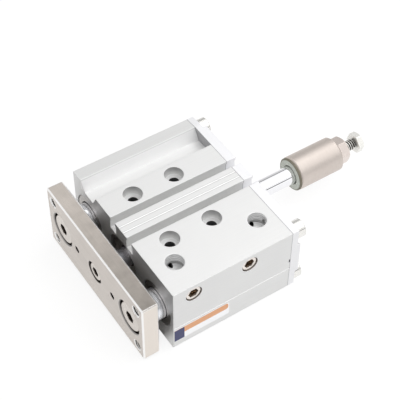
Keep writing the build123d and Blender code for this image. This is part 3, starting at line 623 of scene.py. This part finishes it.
def panel(x_front, x_rear, z_low, z_high, y_back, y_face, corners):
    """A thin panel on the port side, its corners rounded: front low, rear low, rear high, front high."""
    bm = bmesh.new()
    corner_steps = 6
    middle = Vector(((x_front + x_rear) / 2, 0, (z_low + z_high) / 2))
    places = ((x_front, z_low, 0), (x_rear, z_low, 270), (x_rear, z_high, 180), (x_front, z_high, 90))
    outline = []
    for (x, z, start), radius in zip(places, corners):
        centre_x = x - math.copysign(radius, x - middle.x)
        centre_z = z - math.copysign(radius, z - middle.z)
        for step in range(corner_steps + 1):
            angle = math.radians(start - 90 * step / corner_steps)
            outline.append((centre_x + radius * math.cos(angle), centre_z + radius * math.sin(angle)))
    back = [bm.verts.new(Vector((x, y_back, z)) * MM) for x, z in outline]
    face = [bm.verts.new(Vector((x, y_face, z)) * MM) for x, z in outline]
    for i in range(len(outline)):
        j = (i + 1) % len(outline)
        bm.faces.new((back[i], back[j], face[j], face[i]))
    bm.faces.new(face)
    bm.faces.new(list(reversed(back)))
    return bm


def add_label():
    """A plain type plate of coloured film on the port side, with nothing printed on it."""
    front = BODY_FRONT_X - 0.5
    for name, length, z_low, z_high, proud, corners, color, shine in (
        ("label_film", 31.5, 5.0, 13.9, 0.03, (0.3, 1.0, 1.0, 0.3), (0.97, 0.97, 1.0), 0.8),
        ("label_band", 31.0, 9.4, 13.6, 0.05, (0.1, 1.5, 1.5, 0.1), (1.0, 0.49, 0.25), 0.0),
        ("label_block", 5.6, 5.1, 13.5, 0.07, (0.3, 0.2, 0.2, 0.3), (0.035, 0.04, 0.15), 0.0),
    ):
        film = soft(name, color, rough=0.4, grain=0.3, contrast=0.03, relief=0.004, metallic=shine)
        mesh_data = panel(front, front - length, z_low, z_high, SIDE_Y, SIDE_Y + proud, corners)
        add_piece(name, mesh_data, film, "housing")


add_bolt()
add_label()


# Floor, world and lamp

# What metal reflects across the sky, as (place, level) stops with the two ends first. The place is 0 at
# the horizon of the port side, 0.5 overhead and 1 at the far horizon.
ARCH = (
    (0.0, 1.0), (1.0, 0.62), (0.06, 1.0), (0.07, 0.15), (0.115, 0.15), (0.13, 1.0), (0.17, 1.0),
    (0.24, 0.3), (0.50, 0.3), (0.55, 1.0), (0.68, 1.0), (0.77, 0.9), (0.785, 0.2), (0.825, 0.2),
    (0.845, 0.62))


def floor_material():
    """A pale floor, near white to the camera, that still takes a faint shadow.

    Close round the part it is dim in reflections, as the part's own shade makes it there.
    """
    dim_x, dim_y = (41, 44), (36, 41)
    tree = Material("floor")
    x, y, _ = tree.split(tree.place)
    tone = tree.noise((3, 3, 3))
    tree.finish(Base_Color=tree.mix(tone, grey(0.57), grey(0.59)), Roughness=0.8)
    away = tree.larger(tree.remap(tree.absolute(x), *dim_x), tree.remap(tree.absolute(y), *dim_y))
    bright = tree.larger(tree.node("ShaderNodeLightPath").outputs["Is Camera Ray"], away)
    matt = tree.node("ShaderNodeBsdfDiffuse", {"Color": grey(0.22)})
    glow = tree.node("ShaderNodeEmission", {"Strength": tree.times(bright, 0.83)})
    seen = tree.node("ShaderNodeAddShader", {0: matt.outputs[0], 1: glow.outputs[0]})
    tree.links.new(tree.pick_seen(tree.shader.outputs[0], seen.outputs[0]), tree.out.inputs[0])
    return tree.material


def add_floor():
    half = 4.0
    mesh = bpy.data.meshes.new("floor")
    corners = [(-half, -half, 0), (half, -half, 0), (half, half, 0), (-half, half, 0)]
    mesh.from_pydata(corners, [], [(0, 1, 2, 3)])
    mesh.materials.append(floor_material())
    floor = bpy.data.objects.new("floor", mesh)
    bpy.context.collection.objects.link(floor)


def add_world():
    """A wide softbox overhead between dim side walls, darker towards the tool plate's side."""
    towards_light, middle_level, least_level = (-0.26, 0.06, 0.22), 0.47, 0.1
    world = bpy.data.worlds.new("studio")
    bpy.context.scene.world = world
    world.use_nodes = True
    tree = Nodes(world.node_tree)
    direction = tree.node("ShaderNodeTexCoord").outputs["Generated"]
    x, y, z = tree.split(direction)
    level = tree.add(tree.vector("DOT_PRODUCT", direction, towards_light), middle_level)
    level = tree.larger(level, least_level)
    ambient = tree.node("ShaderNodeBackground", {"Color": WHITE, "Strength": level})

    arch = tree.math("DIVIDE", tree.math("ARCTAN2", z, y), math.pi)
    walls = tree.ramp(arch, *ARCH)
    walls = tree.vector("MULTIPLY", walls, tree.remap(x, -0.22, -0.5, 0.75, 1.3))
    walls = tree.mix(tree.above(x, 0.2), walls, WHITE)
    color = tree.mix(tree.node("ShaderNodeLightPath").outputs["Is Glossy Ray"], WHITE, walls)
    shown = tree.node("ShaderNodeBackground", {"Color": color, "Strength": 1.0})
    out = tree.node("ShaderNodeOutputWorld")
    tree.links.new(tree.pick_seen(ambient.outputs[0], shown.outputs[0]), out.inputs[0])


def add_lamp(name, place, target, size, energy):
    data = bpy.data.lights.new(name, "AREA")
    data.shape = "DISK"
    data.size = size
    data.energy = energy
    lamp = bpy.data.objects.new(name, data)
    lamp.location = place
    lamp.rotation_euler = (Vector(target) - Vector(place)).to_track_quat("-Z", "Y").to_euler()
    bpy.context.collection.objects.link(lamp)


def add_camera():
    """The camera solved from the photograph: its place in metres and its own axes, in the part's frame."""
    place = Vector((0.19297657, 0.31019281, 0.46306867))
    right = Vector((-0.83416808, 0.55144272, 0.00863387))
    up = Vector((-0.41001944, -0.63055484, 0.65900277))
    back = Vector((0.36884641, 0.54617902, 0.75209096))
    data = bpy.data.cameras.new("camera")
    data.sensor_width = 36.0
    data.lens = 102.978
    data.clip_start = 0.01
    camera = bpy.data.objects.new("camera", data)
    turn = Matrix((right, up, back)).transposed().to_4x4()
    camera.matrix_world = Matrix.Translation(place) @ turn
    bpy.context.collection.objects.link(camera)
    bpy.context.scene.camera = camera


add_floor()
add_world()
add_lamp("key", place=(-0.23, 0.23, 0.83), target=(0, 0, 0.02), size=1.2, energy=4.4)
add_camera()
bpy.context.scene.view_settings.view_transform = "Standard"
